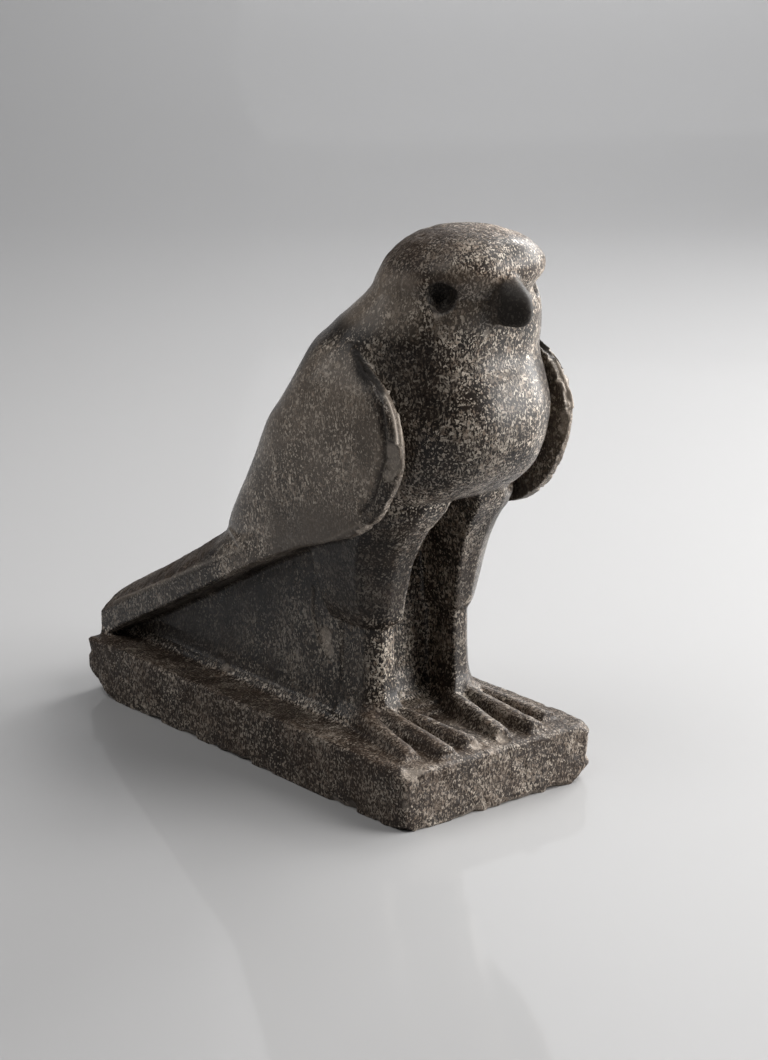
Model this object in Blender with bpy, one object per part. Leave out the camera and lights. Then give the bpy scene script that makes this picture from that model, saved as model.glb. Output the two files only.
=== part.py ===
"""A falcon statuette and its plinth, carved as one block of porphyry.

Metres, +Z up. The origin is under the middle of the plinth and the falcon faces -Y.
The plinth has its own sizes. The figure stands on the plinth's top, and its pose and
carving are written in parts of its own height.
"""
import math

import bmesh
import bpy
from mathutils import Vector

# Driving dimensions, metres
PLINTH_LENGTH = 0.218
PLINTH_WIDTH = 0.097
PLINTH_THICKNESS = 0.0242
PLINTH_EDGE_WEAR = 0.0016     # rounding of the plinth's worn edges
FIGURE_HEIGHT = 0.2045        # from the plinth's top to the crown of the head
TOE_SETBACK = 0.0045          # from the plinth's front edge to the tip of the middle toe
SINK = 0.003                  # how far legs, web and tail run into the plinth

# One part of the figure's height: a millimetre at the real size
PART = FIGURE_HEIGHT / 204.5

# Where the figure stands: its own zero is 104 parts behind the tip of the middle toe
FIGURE_Y = -PLINTH_LENGTH / 2 + TOE_SETBACK + 104.5 * PART
FIGURE_Z = PLINTH_THICKNESS

LEG_EDGE = 1.0                # rounding of a leg's crisp inner edges, in parts
LEG_CHAMFER = 1.5             # how flat the slope of its outer front corner is: 1 is round, 2 a plane
LEG_BACK_CORNER = 4.0         # rounding of its outer back corner, in parts
CUT_AWAY = 0.003              # extra stone below the underside, sawn off flat at the end
SAW_SNAP = 0.00015            # corners this close to the underside are moved onto it

RING_POINTS = 72
VOXEL = 0.0013
SMOOTH_STEPS = 3
TRIANGLES = 9200


# Trunk, neck and head: level, half width, y of the widest place, front, back,
# and how square the front and the back are (2 is an ellipse)
TRUNK = [
    (204.5, 6.0, -88.0, -94.0, -81.0, 2.0, 2.0),
    (203.0, 14.0, -87.0, -102.5, -72.0, 2.2, 2.0),
    (199.5, 22.5, -86.0, -109.0, -63.0, 2.4, 2.0),
    (193.5, 29.0, -84.5, -112.0, -56.5, 2.5, 2.0),
    (188.5, 31.6, -83.2, -112.0, -53.3, 2.35, 2.0),
    (185.0, 32.6, -82.0, -110.6, -51.0, 2.1, 2.0),
    (181.0, 33.0, -80.5, -109.4, -48.8, 1.8, 2.0),
    (177.5, 33.8, -77.5, -108.6, -46.0, 2.15, 2.0),
    (172.0, 35.6, -73.0, -107.6, -41.0, 2.45, 2.0),
    (164.0, 39.0, -66.0, -106.0, -29.5, 2.5, 2.0),
    (154.0, 41.0, -60.0, -106.5, -20.0, 2.3, 2.0),
    (146.0, 42.6, -55.5, -110.5, -15.0, 2.3, 2.0),
    (134.0, 43.2, -50.0, -113.5, -7.0, 2.5, 2.1),
    (122.0, 43.2, -44.0, -113.0, 3.0, 2.4, 2.2),
    (111.0, 42.2, -40.5, -107.0, 12.0, 2.5, 2.2),
    (103.0, 41.0, -38.0, -97.0, 18.0, 2.8, 2.2),
    (97.0, 40.0, -36.0, -86.0, 22.0, 3.2, 2.3),
    (91.0, 38.0, -34.0, -68.0, 26.0, 3.6, 2.4),
    (80.0, 30.0, -30.0, -50.0, 32.0, 3.0, 2.4),
]

# Back and folded wings: the same columns, a little outside the trunk
MANTLE = [
    (176.0, 33.0, -73.0, -98.0, -45.0, 2.2, 2.0),
    (168.0, 36.6, -68.0, -105.0, -35.0, 2.6, 2.0),
    (160.0, 41.0, -64.0, -110.0, -25.0, 3.2, 2.0),
    (154.0, 44.0, -60.0, -112.0, -18.0, 4.0, 2.0),
    (145.0, 47.0, -55.0, -112.0, -13.0, 5.0, 2.0),
    (136.0, 48.0, -50.0, -112.0, -6.5, 5.0, 2.0),
    (127.0, 48.3, -46.0, -112.0, 0.5, 5.0, 2.1),
    (118.0, 48.3, -42.0, -110.0, 8.0, 5.0, 2.2),
    (101.0, 48.0, -36.0, -105.0, 18.5, 5.0, 2.2),
    (89.0, 47.8, -32.0, -100.0, 25.2, 5.0, 2.3),
    (80.0, 47.5, -28.0, -95.0, 30.2, 5.0, 2.4),
    (70.0, 46.5, -24.0, -90.0, 35.6, 5.0, 2.5),
    (60.0, 44.0, -20.0, -85.0, 39.2, 4.0, 2.6),
]

# Side outline of a wing from the shoulder notch down its front edge, then back along its lower edge
WING_FRONT = [
    (-68.0, 158.5), (-78.0, 153.5), (-88.0, 147.5), (-94.5, 139.5), (-98.6, 129.5), (-98.8, 118.5),
    (-94.0, 107.5), (-85.5, 96.0), (-73.0, 86.5), (-60.0, 82.0),
]
WING_LOWER = [(-37.0, 73.6), (-3.0, 57.3), (32.5, 38.2), (72.0, 17.8), (104.0, 1.0)]
WING_PLATE_INNER = 40.5       # half width of the gap between the two wing edges, filled by the breast
WING_PLATE_DEPTH = -62.0      # how far back that gap is cut before the breast fills it

# Tail plank: y, z of its lower edge, half width, upright side, rise of the domed top
TAIL = [
    (-40.0, 75.0, 47.0, 14.0, 20.0),
    (-3.0, 57.3, 46.3, 12.0, 19.0),
    (32.0, 38.4, 44.8, 11.0, 14.0),
    (70.0, 18.8, 42.7, 10.4, 12.0),
    (95.0, 5.7, 41.3, 10.8, 11.0),
    (109.5, -2.0, 40.8, 11.5, 9.6),
]
TAIL_DOME = 5.0               # how square the domed top is: it leaves the sides at a soft ridge

# Thigh and shank: level, inner x, outer x, front, back, and how far the slope of the
# outer front corner runs along x and y. The inner front edge stays crisp.
THIGH = [
    (108.0, 1.0, 33.0, -88.0, -28.0, 18.0, 20.0),
    (101.0, 4.5, 35.0, -87.0, -28.0, 18.0, 18.0),
    (94.0, 7.8, 37.0, -85.6, -28.0, 16.0, 14.0),
    (88.0, 9.4, 37.0, -81.4, -28.5, 14.5, 11.4),
    (81.0, 10.8, 36.4, -76.0, -29.0, 14.0, 11.0),
    (68.0, 12.0, 34.2, -69.8, -29.5, 12.0, 9.2),
    (51.0, 13.0, 31.0, -66.0, -31.0, 9.8, 8.0),
    (45.0, 13.4, 29.0, -65.0, -32.5, 8.4, 7.4),
    (42.5, 14.2, 27.8, -63.6, -34.0, 7.4, 6.6),
]
SHANK = [
    (50.0, 15.2, 26.8, -62.2, -40.0, 5.0, 5.6),
    (36.0, 15.2, 26.5, -62.0, -40.0, 5.0, 5.6),
    (22.0, 15.0, 26.8, -62.2, -40.0, 5.2, 5.8),
    (14.0, 14.4, 27.6, -62.9, -40.0, 5.8, 6.2),
    (8.0, 13.2, 29.2, -65.0, -40.0, 7.0, 7.0),
    (3.0, 11.5, 32.0, -69.0, -40.0, 8.5, 8.0),
]
# Stone left between the shanks: level and front
BETWEEN_SHANKS = [
    (96.0, -44.0), (60.0, -45.0), (32.0, -45.5), (16.0, -46.2), (8.0, -48.0), (4.0, -51.0), (2.0, -55.5),
    (1.0, -61.0),
]
BETWEEN_HALF_WIDTH = 18.0

# Toes: root x, root y, tip x, tip y, root height, tip height, width
TOES = [
    (14.5, -60.0, 8.2, -101.0, 8.4, 4.0, 9.0),
    (21.5, -60.0, 23.0, -104.5, 9.2, 4.2, 9.6),
    (28.0, -58.0, 36.0, -97.0, 7.8, 3.4, 9.0),
]

# Web of stone under the tail: level and half width; it flares a little onto the plinth
WEB = [(0.5, 31.5), (3.0, 29.6), (9.0, 28.2), (22.0, 27.4), (80.0, 26.5)]
WEB_FRONT = -42.0

# Beak, from its root under the forehead to its flat underside: the same columns as the trunk.
# Its ridge is furthest forward half way down, and the tip hooks back below that.
BEAK = [
    (191.5, 2.2, -106.0, -109.5, -99.0, 1.8, 2.0),
    (189.7, 4.0, -106.0, -112.3, -98.0, 1.8, 2.0),
    (187.6, 5.6, -106.0, -115.3, -98.0, 1.8, 2.0),
    (185.3, 6.8, -106.0, -118.5, -98.0, 1.7, 2.0),
    (182.2, 7.5, -106.0, -121.8, -98.0, 1.7, 2.0),
    (178.6, 7.7, -106.0, -123.3, -98.0, 1.7, 2.0),
    (174.6, 7.1, -106.0, -122.8, -98.0, 1.7, 2.0),
    (172.2, 6.2, -106.0, -121.0, -98.0, 1.8, 2.0),
    (170.6, 4.8, -106.0, -118.0, -98.0, 1.9, 2.0),
]
# Hollows of the face: x, y, z of the centre and the three radii
LORE_HOLLOW = (16.5, -115.6, 181.0, 12.0, 8.6, 7.2)
EYE_SOCKET = (25.0, -99.9, 182.4, 4.7, 4.7, 5.3)

# Broken corners of the plinth: side, end, top or bottom, and how far the break runs along x, y and z
BREAKS = [
    (-1, 1, -1, 0.020, 0.016, 0.0110),
    (1, -1, 1, 0.008, 0.006, 0.0055),
    (1, -1, -1, 0.0105, 0.008, 0.0075),
    (-1, -1, 1, 0.008, 0.011, 0.0050),
    (-1, -1, -1, 0.005, 0.009, 0.0030),
    (1, 1, 1, 0.007, 0.010, 0.0040),
]


def clear_scene():
    for obj in list(bpy.data.objects):
        bpy.data.objects.remove(obj)


def at(x, y, z):
    """A place of the figure, given in parts, in the frame of the whole object."""
    return Vector((x * PART, FIGURE_Y + y * PART, FIGURE_Z + z * PART))


def catmull(p0, p1, p2, p3, t):
    return tuple(0.5 * (2 * b + (c - a) * t + (2 * a - 5 * b + 4 * c - d) * t * t
                        + (3 * b - a - 3 * c + d) * t ** 3) for a, b, c, d in zip(p0, p1, p2, p3))


def smooth_rows(rows, steps):
    """Rows between the given ones, on a smooth curve through them."""
    out = []
    last = len(rows) - 1
    for i in range(last):
        p0 = rows[max(i - 1, 0)]
        p3 = rows[min(i + 2, last)]
        for k in range(steps):
            out.append(catmull(p0, rows[i], rows[i + 1], p3, k / steps))
    out.append(tuple(rows[-1]))
    return out


def signed_power(value, power):
    return math.copysign(abs(value) ** power, value)


def level_ring(row):
    """A closed horizontal section: an ellipse or a squarer oval with its own front and back."""
    level, half, middle, front, back, n_front, n_back = row
    ring = []
    for k in range(RING_POINTS):
        turn = 2 * math.pi * k / RING_POINTS
        c, s = math.cos(turn), math.sin(turn)
        n = n_front if s < 0 else n_back
        depth = middle - front if s < 0 else back - middle
        ring.append(at(half * signed_power(c, 2 / n), middle + depth * signed_power(s, 2 / n), level))
    return ring


def loft(rings, name):
    """A closed solid through rings of as many points each."""
    bm = bmesh.new()
    loops = []
    for ring in rings:
        loops.append([bm.verts.new(p) for p in ring])
    for low, high in zip(loops, loops[1:]):
        count = len(low)
        for k in range(count):
            bm.faces.new((low[k], low[(k + 1) % count], high[(k + 1) % count], high[k]))
    bm.faces.new(loops[0])
    bm.faces.new(loops[-1])
    bmesh.ops.recalc_face_normals(bm, faces=bm.faces)
    mesh = bpy.data.meshes.new(name)
    bm.to_mesh(mesh)
    bm.free()
    obj = bpy.data.objects.new(name, mesh)
    bpy.context.collection.objects.link(obj)
    return obj


def leg_ring(side, inner, outer, front, back, run_x, run_y, level):
    """A leg's section: a box whose corners are quarter ellipses of their own sizes."""
    corners = [
        (outer - run_x, front + run_y, run_x, run_y, -90),
        (outer - LEG_BACK_CORNER, back - LEG_BACK_CORNER, LEG_BACK_CORNER, LEG_BACK_CORNER, 0),
        (inner + LEG_EDGE, back - LEG_EDGE, LEG_EDGE, LEG_EDGE, 90),
        (inner + LEG_EDGE, front + LEG_EDGE, LEG_EDGE, LEG_EDGE, 180),
    ]
    ring = []
    for x, y, radius_x, radius_y, start in corners:
        flat = LEG_CHAMFER if start == -90 else 1.0
        for k in range(9):
            turn = math.radians(start + 90 * k / 8)
            c = signed_power(math.cos(turn), flat)
            s = signed_power(math.sin(turn), flat)
            ring.append(at(side * (x + radius_x * c), y + radius_y * s, level))
    return ring


def oval(centre_x, centre_y, half_x, half_y, level, n, count=32):
    ring = []
    for k in range(count):
        turn = 2 * math.pi * k / count
        c, s = math.cos(turn), math.sin(turn)
        ring.append(at(centre_x + half_x * signed_power(c, 2 / n),
                       centre_y + half_y * signed_power(s, 2 / n), level))
    return ring


def make_trunk():
    return loft([level_ring(row) for row in smooth_rows(TRUNK, 4)], "trunk")


def side_prism(outline, half_width, name):
    """The side outline, run across the whole width."""
    rings = []
    for x in (-half_width, half_width):
        rings.append([at(x, y, z) for y, z in outline])
    return loft(rings, name)


def make_mantle():
    """Folded wings and back: cut to the wing's side outline, and open in front for the breast."""
    body = loft([level_ring(row) for row in smooth_rows(MANTLE, 4)], "mantle")
    outline = smooth_rows(WING_FRONT, 4) + WING_LOWER
    outline = outline + [(150.0, 0.5), (150.0, 250.0), (-68.0, 250.0)]
    prism = side_prism(outline, 60.0, "wing_outline")
    use_boolean(body, prism, "INTERSECT")
    gap = loft([[at(x, y, z) for x, y in ((-WING_PLATE_INNER, -130), (WING_PLATE_INNER, -130),
                                          (WING_PLATE_INNER, WING_PLATE_DEPTH),
                                          (-WING_PLATE_INNER, WING_PLATE_DEPTH))]
                for z in (60.0, 180.0)], "breast_gap")
    use_boolean(body, gap, "DIFFERENCE")
    return bake(body)


def make_tail():
    rings = []
    for y, low, half, side, rise in smooth_rows(TAIL, 4):
        ring = [at(-half + 2.0, y, low), at(half - 2.0, y, low), at(half, y, low + 0.8)]
        for k in range(25):
            across = math.cos(math.pi * k / 24)
            ring.append(at(half * across, y, low + side + rise * (1 - abs(across) ** TAIL_DOME)))
        ring.append(at(-half, y, low + 0.8))
        rings.append(ring)
    return loft(rings, "tail")


def make_leg(side):
    parts = []
    for name, rows in (("thigh", THIGH), ("shank", SHANK)):
        rings = []
        for level, inner, outer, front, back, run_x, run_y in smooth_rows(rows, 4):
            rings.append(leg_ring(side, inner, outer, front, back, run_x, run_y, level))
        parts.append(loft(rings, name))
    low = -SINK / PART
    parts.append(loft([oval(side * 22.0, -57.0, 11.0, 14.0, low, 3.0),
                       oval(side * 22.0, -57.0, 10.0, 13.0, 3.0, 3.0),
                       oval(side * 22.0, -55.0, 8.0, 10.0, 7.6, 2.6)], "foot"))
    for root_x, root_y, tip_x, tip_y, root_h, tip_h, width in TOES:
        rings = []
        for k in range(9):
            t = k / 8
            x = root_x + (tip_x - root_x) * t
            y = root_y + (tip_y - root_y) * t
            h = root_h + (tip_h - root_h) * t
            w = width / 2 * (1 - 0.15 * t)
            shape = [(-w, low), (w, low), (w, h * 0.35), (w * 0.72, h * 0.8), (w * 0.25, h),
                     (-w * 0.25, h), (-w * 0.72, h * 0.8), (-w, h * 0.35)]
            rings.append([at(side * (x + dx), y, z) for dx, z in shape])
        parts.append(loft(rings, "toe"))
    return parts


def make_web():
    """The thin wall of stone under the tail, cut off along the wing's lower edge."""
    rings = []
    for level, half in [(-SINK / PART, WEB[0][1] + 1.5)] + WEB:
        rings.append([at(-half, WEB_FRONT, level), at(half, WEB_FRONT, level), at(half, 104.0, level),
                      at(-half, 104.0, level)])
    web = loft(rings, "web")
    outline = [(-80.0, -12.0), (-80.0, 92.0)] + [(y, z + 3.0) for y, z in WING_LOWER] + [(108.0, -12.0)]
    use_boolean(web, side_prism(outline, 60.0, "web_outline"), "INTERSECT")
    return bake(web)


def make_filling():
    """Stone left standing between the two shanks, with a hollow curve at its foot."""
    rings = []
    half = BETWEEN_HALF_WIDTH
    for level, front in BETWEEN_SHANKS + [(-SINK / PART, -64.0)]:
        rings.append([at(-half, front, level), at(half, front, level),
                      at(half, -30.0, level), at(-half, -30.0, level)])
    return loft(rings, "filling")


def make_beak():
    return loft([level_ring(row) for row in smooth_rows(BEAK, 3)], "beak")


def ball(x, y, z, radius_x, radius_y, radius_z, name):
    bm = bmesh.new()
    bmesh.ops.create_uvsphere(bm, u_segments=32, v_segments=20, radius=1.0)
    for v in bm.verts:
        v.co = at(x + radius_x * v.co.x, y + radius_y * v.co.y, z + radius_z * v.co.z)
    mesh = bpy.data.meshes.new(name)
    bm.to_mesh(mesh)
    bm.free()
    obj = bpy.data.objects.new(name, mesh)
    bpy.context.collection.objects.link(obj)
    return obj


def make_plinth():
    bm = bmesh.new()
    bmesh.ops.create_cube(bm, size=1.0)
    for v in bm.verts:
        v.co.x = v.co.x * PLINTH_WIDTH
        v.co.y = v.co.y * PLINTH_LENGTH
        v.co.z = PLINTH_THICKNESS if v.co.z > 0 else -CUT_AWAY
    edges = [e for e in bm.edges if max(v.co.z for v in e.verts) > 0]
    bmesh.ops.bevel(bm, geom=edges, offset=PLINTH_EDGE_WEAR, segments=2, affect="EDGES")
    for side, end, top, run_x, run_y, run_z in BREAKS:
        level = PLINTH_THICKNESS if top > 0 else 0.0
        corner = Vector((side * PLINTH_WIDTH / 2, end * PLINTH_LENGTH / 2, level))
        normal = Vector((side / run_x, end / run_y, top / run_z))
        cut = bmesh.ops.bisect_plane(bm, geom=bm.verts[:] + bm.edges[:] + bm.faces[:],
                                     plane_co=corner - Vector((side * run_x, 0, 0)), plane_no=normal,
                                     clear_outer=True)
        bmesh.ops.holes_fill(bm, edges=[e for e in cut["geom_cut"] if isinstance(e, bmesh.types.BMEdge)])
    mesh = bpy.data.meshes.new("plinth")
    bm.to_mesh(mesh)
    bm.free()
    obj = bpy.data.objects.new("plinth", mesh)
    bpy.context.collection.objects.link(obj)
    return obj


def use_boolean(obj, cutter, operation):
    cutter.hide_render = True
    cutter.display_type = "WIRE"
    modifier = obj.modifiers.new(cutter.name, "BOOLEAN")
    modifier.operation = operation
    modifier.object = cutter


def bake(obj):
    """Turns an object's modifiers into its mesh."""
    bpy.context.view_layer.update()
    graph = bpy.context.evaluated_depsgraph_get()
    mesh = bpy.data.meshes.new_from_object(obj.evaluated_get(graph))
    cutters = [m.object for m in obj.modifiers if m.type == "BOOLEAN"]
    obj.modifiers.clear()
    obj.data = mesh
    for cutter in cutters:
        bpy.data.objects.remove(cutter)
    return obj


def saw_flat(obj):
    """Saws the stone off along the underside, z = 0, and closes it with one flat face."""
    bm = bmesh.new()
    bm.from_mesh(obj.data)
    for v in bm.verts:
        if abs(v.co.z) < SAW_SNAP:
            v.co.z = 0.0
    bmesh.ops.bisect_plane(bm, geom=bm.verts[:] + bm.edges[:] + bm.faces[:], dist=1e-6,
                           plane_co=(0, 0, 0), plane_no=(0, 0, 1), clear_inner=True)
    flat = [f for f in bm.faces if all(abs(v.co.z) < 1e-7 for v in f.verts)]
    bmesh.ops.delete(bm, geom=flat, context="FACES")
    bmesh.ops.holes_fill(bm, edges=[e for e in bm.edges if e.is_boundary])
    bmesh.ops.dissolve_degenerate(bm, dist=1e-6, edges=bm.edges)
    bmesh.ops.recalc_face_normals(bm, faces=bm.faces)
    bm.to_mesh(obj.data)
    bm.free()


def join(parts, name):
    """All parts in one mesh, still overlapping."""
    bm = bmesh.new()
    for part in parts:
        bm.from_mesh(part.data)
        bpy.data.objects.remove(part)
    mesh = bpy.data.meshes.new(name)
    bm.to_mesh(mesh)
    bm.free()
    obj = bpy.data.objects.new(name, mesh)
    bpy.context.collection.objects.link(obj)
    return obj


def main():
    clear_scene()
    trunk = make_trunk()
    for side in (-1, 1):
        x, y, z, radius_x, radius_y, radius_z = LORE_HOLLOW
        use_boolean(trunk, ball(side * x, y, z, radius_x, radius_y, radius_z, "lore_hollow"), "DIFFERENCE")
    parts = [bake(trunk), make_mantle(), make_tail(), make_web(), make_filling(), make_beak(), make_plinth()]
    for side in (-1, 1):
        parts = parts + make_leg(side)
    falcon = join(parts, "falcon_statuette")

    remesh = falcon.modifiers.new("one_stone", "REMESH")
    remesh.mode = "VOXEL"
    remesh.voxel_size = VOXEL
    smooth = falcon.modifiers.new("worn", "SMOOTH")
    smooth.factor = 0.5
    smooth.iterations = SMOOTH_STEPS
    for side in (-1, 1):
        x, y, z, radius_x, radius_y, radius_z = EYE_SOCKET
        use_boolean(falcon, ball(side * x, y, z, radius_x, radius_y, radius_z, "eye_socket"), "DIFFERENCE")
    bake(falcon)
    triangles = sum(len(p.vertices) - 2 for p in falcon.data.polygons)
    decimate = falcon.modifiers.new("facets", "DECIMATE")
    decimate.ratio = TRIANGLES / triangles
    saw_flat(bake(falcon))

    stone = bpy.data.materials.new("porphyry")
    stone.use_nodes = True
    shader = stone.node_tree.nodes["Principled BSDF"]
    shader.inputs["Base Color"].default_value = (0.06, 0.052, 0.05, 1.0)
    shader.inputs["Roughness"].default_value = 0.45
    falcon.data.materials.append(stone)
    falcon.data.shade_smooth()


main()
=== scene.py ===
"""The porphyry falcon dressed for its photograph: the worn surface of the stone, its
speckled material, a pale studio floor, lights and the camera.

Metres, +Z up. The origin is under the middle of the plinth and the falcon faces -Y.
The tables repeat the forms of the solid in parts of the figure's height.
"""
import math
import random

import bmesh
import bpy
import numpy as np
from mathutils import Matrix, Vector
from mathutils.bvhtree import BVHTree


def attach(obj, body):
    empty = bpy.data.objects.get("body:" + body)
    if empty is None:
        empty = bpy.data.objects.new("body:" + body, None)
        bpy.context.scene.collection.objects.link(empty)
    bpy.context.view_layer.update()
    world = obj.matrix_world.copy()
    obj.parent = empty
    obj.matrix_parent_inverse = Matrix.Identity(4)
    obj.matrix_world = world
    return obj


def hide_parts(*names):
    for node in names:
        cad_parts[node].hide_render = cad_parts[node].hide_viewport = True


MM = 0.001

# The solid's own sizes, metres
PLINTH_LENGTH = 0.218
PLINTH_WIDTH = 0.097
PLINTH_THICKNESS = 0.0242
PLINTH_EDGE_WEAR = 0.0010
FIGURE_HEIGHT = 0.2045
TOE_SETBACK = 0.0045
SINK = 0.003
PART = FIGURE_HEIGHT / 204.5
FIGURE_Y = -PLINTH_LENGTH / 2 + TOE_SETBACK + 104.5 * PART
FIGURE_Z = PLINTH_THICKNESS

# Rounding of the legs, in parts
LEG_EDGE = 0.7
LEG_CHAMFER = 1.6
LEG_BACK_CORNER = 4.0

# Stone that is sawn off under the plinth, and how near the saw's plane a point is drawn onto it
CUT_AWAY = 0.003
SAW_SNAP = 0.0001

# How pale the faces of small chips, of the gouges seen in the photograph and of broad ridges
# stand out; on ridges the pale is worn stone and partly a painted highlight. A ridge narrower than THIN_LINE
# on either side of its middle is pale all over.
CHIP_PALE = 0.3
GOUGE_PALE = 0.42
BROAD_LINE_PALE = 0.25
THIN_LINE = 0.0006

# Height and depth of line, metres, from which a ridge is fully pale (worn stone and partly a painted
# highlight) and a groove fully dark (dirt in the groove and painted shade), and how black a groove's painted
# shade and dirt get
PALE_HEIGHT = 0.0007
DARK_DEPTH = 0.0011
GROOVE_SHADE_AND_DIRT = 0.75

# How fine the mesh is. RELIEF_SEED orders the chips along the edges.
RING_POINTS = 144
ROW_STEPS = 6
LEG_STEPS = 5
BEAK_STEPS = 5
VOXEL = 0.00085
SMOOTH_STEPS = 2
REFINE_MARGIN = 0.0012
TRIANGLES = 190000
RELIEF_SEED = 11

# Camera, fitted to the photograph: pixels of its 768 x 1060 frame
IMAGE_WIDTH, IMAGE_HEIGHT = 768, 1060
FOCAL_PIXELS = 3200.0
CAMERA_AZIMUTH, CAMERA_ELEVATION = -39.0, 16.54
CAMERA_DISTANCE = 1.344
TARGET_RIGHT, TARGET_UP = 0.0227, 0.0846

# Trunk, neck and head: level, half width, y of the widest place, front, back,
# and how square the front and the back are (2 is an ellipse)
TRUNK = [
    (204.5, 6.0, -88.0, -94.0, -81.0, 2.0, 2.0),
    (203.0, 14.0, -87.0, -102.5, -72.0, 2.2, 2.0),
    (199.5, 22.5, -86.0, -109.0, -63.0, 2.4, 2.0),
    (193.5, 29.0, -84.5, -112.0, -56.5, 2.5, 2.0),
    (188.5, 31.6, -83.2, -112.0, -53.3, 2.35, 2.0),
    (185.0, 32.6, -82.0, -110.6, -51.0, 2.1, 2.0),
    (181.0, 33.0, -80.5, -109.4, -48.8, 1.8, 2.0),
    (177.5, 33.8, -77.5, -108.6, -46.0, 2.15, 2.0),
    (172.0, 35.6, -73.0, -107.6, -41.0, 2.45, 2.0),
    (164.0, 39.0, -66.0, -106.0, -29.5, 2.5, 2.0),
    (154.0, 41.0, -60.0, -106.5, -20.0, 2.3, 2.0),
    (146.0, 42.6, -55.5, -110.5, -15.0, 2.3, 2.0),
    (134.0, 43.2, -50.0, -113.5, -7.0, 2.5, 2.1),
    (122.0, 43.2, -44.0, -113.0, 3.0, 2.4, 2.2),
    (111.0, 42.2, -40.5, -107.0, 12.0, 2.5, 2.2),
    (103.0, 41.0, -38.0, -97.0, 18.0, 2.8, 2.2),
    (97.0, 40.0, -36.0, -86.0, 22.0, 3.2, 2.3),
    (91.0, 38.0, -34.0, -68.0, 26.0, 3.6, 2.4),
    (80.0, 30.0, -30.0, -50.0, 32.0, 3.0, 2.4),
]

# Back and folded wings: the same columns, a little outside the trunk
MANTLE = [
    (176.0, 33.0, -73.0, -98.0, -45.0, 2.2, 2.0),
    (168.0, 36.6, -68.0, -105.0, -35.0, 2.6, 2.0),
    (160.0, 41.0, -64.0, -110.0, -25.0, 3.2, 2.0),
    (154.0, 44.0, -60.0, -112.0, -18.0, 4.0, 2.0),
    (145.0, 47.0, -55.0, -112.0, -13.0, 5.0, 2.0),
    (136.0, 48.0, -50.0, -112.0, -6.5, 5.0, 2.0),
    (127.0, 48.3, -46.0, -112.0, 0.5, 5.0, 2.1),
    (118.0, 48.3, -42.0, -110.0, 8.0, 5.0, 2.2),
    (101.0, 48.0, -36.0, -105.0, 18.5, 5.0, 2.2),
    (89.0, 47.8, -32.0, -100.0, 25.2, 5.0, 2.3),
    (80.0, 47.5, -28.0, -95.0, 30.2, 5.0, 2.4),
    (70.0, 46.5, -24.0, -90.0, 35.6, 5.0, 2.5),
    (60.0, 44.0, -20.0, -85.0, 39.2, 4.0, 2.6),
]

# Side outline of a wing: its front edge from the shoulder notch down, then its lower edge
WING_FRONT = [
    (-68.0, 158.5), (-78.0, 153.5), (-88.0, 147.5), (-94.5, 139.5), (-98.6, 129.5), (-98.8, 118.5),
    (-94.0, 107.5), (-85.5, 96.0), (-73.0, 86.5), (-60.0, 82.0),
]
WING_LOWER = [(-37.0, 73.6), (-3.0, 57.3), (32.5, 38.2), (72.0, 17.8), (104.0, 1.0)]
WING_PLATE_INNER = 40.5
RIM_X = 46.5
WING_PLATE_DEPTH = -62.0

# Tail plank: y, z of its lower edge, half width, upright side, rise of the domed top
TAIL = [
    (-40.0, 75.0, 47.0, 14.0, 20.0),
    (-3.0, 57.3, 46.3, 12.0, 19.0),
    (32.0, 38.4, 44.8, 11.0, 14.0),
    (70.0, 18.8, 42.7, 10.4, 12.0),
    (95.0, 5.7, 41.3, 10.8, 11.0),
    (109.5, -2.0, 40.8, 11.5, 9.6),
]
TAIL_DOME = 5.0

# Thigh and shank: level, inner x, outer x, front, back, run of the outer front slope in x and y
THIGH = [
    (108.0, 1.0, 33.0, -88.0, -28.0, 18.0, 20.0),
    (101.0, 4.5, 35.0, -87.0, -28.0, 18.0, 18.0),
    (94.0, 7.8, 37.0, -85.6, -28.0, 16.0, 14.0),
    (88.0, 9.4, 37.0, -81.4, -28.5, 14.5, 11.4),
    (81.0, 10.8, 36.4, -76.0, -29.0, 14.0, 11.0),
    (68.0, 12.0, 34.2, -69.8, -29.5, 12.0, 9.2),
    (51.0, 13.0, 31.0, -66.0, -31.0, 9.8, 8.0),
    (45.0, 13.4, 29.0, -65.0, -32.5, 8.4, 7.4),
    (42.5, 14.2, 27.8, -63.6, -34.0, 7.4, 6.6),
]
SHANK = [
    (50.0, 15.2, 26.8, -62.2, -40.0, 5.0, 5.6),
    (36.0, 15.2, 26.5, -62.0, -40.0, 5.0, 5.6),
    (22.0, 15.0, 26.8, -62.2, -40.0, 5.2, 5.8),
    (14.0, 14.4, 27.6, -62.9, -40.0, 5.8, 6.2),
    (8.0, 13.2, 29.2, -65.0, -40.0, 7.0, 7.0),
    (3.0, 11.5, 32.0, -69.0, -40.0, 8.5, 8.0),
]
BETWEEN_SHANKS = [
    (96.0, -44.0), (60.0, -45.0), (32.0, -45.5), (16.0, -46.2), (8.0, -48.0), (4.0, -51.0), (2.0, -55.5),
    (1.0, -61.0),
]
BETWEEN_HALF_WIDTH = 18.0

# Toes: root x, root y, tip x, tip y, root height, tip height, width
TOES = [
    (14.5, -60.0, 8.2, -101.0, 8.4, 4.0, 9.0),
    (21.5, -60.0, 23.0, -104.5, 9.2, 4.2, 9.6),
    (28.0, -58.0, 36.0, -97.0, 7.8, 3.4, 9.0),
]

# Web of stone under the tail: level and half width
WEB = [(0.5, 32.0), (2.0, 31.8), (3.2, 30.0), (9.0, 28.2), (22.0, 27.4), (80.0, 26.5)]
WEB_FRONT = -42.0
WEB_FOOT_FRONT = -56.0

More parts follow.
